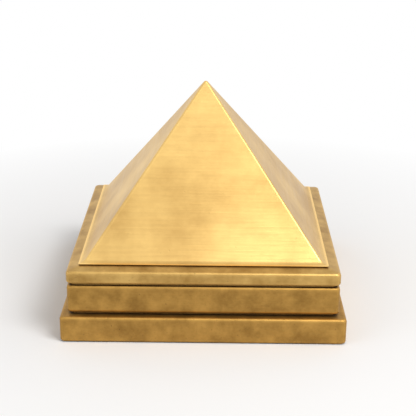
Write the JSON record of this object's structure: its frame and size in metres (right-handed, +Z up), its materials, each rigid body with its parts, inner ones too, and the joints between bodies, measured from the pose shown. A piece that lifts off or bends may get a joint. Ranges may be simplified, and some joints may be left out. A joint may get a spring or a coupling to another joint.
{
  "type": "vastu pyramid",
  "caption": "Brass pyramid on a square flange, which lifts off a hollow tray of small pyramids and a wider base plate.",
  "frame": {"origin": "centre of the base plate's underside", "axes": "+Z up through the pyramid's tip, +X and +Y square to the sides, the pictured front faces -Y"},
  "size_m": [0.0508, 0.0508, 0.0416],
  "materials": {
    "layer_brass": "aged satin with fine specks",
    "frame_brass": "aged satin",
    "shell_brass": "brushed and polished",
    "grid_brass": "pressed and tumbled",
    "inner_brass": "cast and polished"
  },
  "bodies": {
    "base": {"base_plate": "layer_brass", "pyramid_grid_plate": "grid_brass"},
    "middle": {"middle_tray": "layer_brass", "inner_pyramid_1": "inner_brass", "inner_pyramid_2": "inner_brass", "inner_pyramid_3": "inner_brass", "inner_pyramid_4": "inner_brass", "inner_pyramid_5": "inner_brass", "inner_pyramid_6": "inner_brass", "inner_pyramid_7": "inner_brass", "inner_pyramid_8": "inner_brass", "inner_pyramid_9": "inner_brass"},
    "cap": {"cap_frame": "frame_brass", "pyramid_shell": "shell_brass"}
  },
  "joints": [
    {"name": "tray_lift", "type": "slide", "parent": "base", "child": "middle", "axis": [0, 0, 1], "range_m": [0, 0.02]},
    {"name": "cap_lift", "type": "slide", "parent": "middle", "child": "cap", "axis": [0, 0, 1], "range_m": [0, 0.04]}
  ]
}
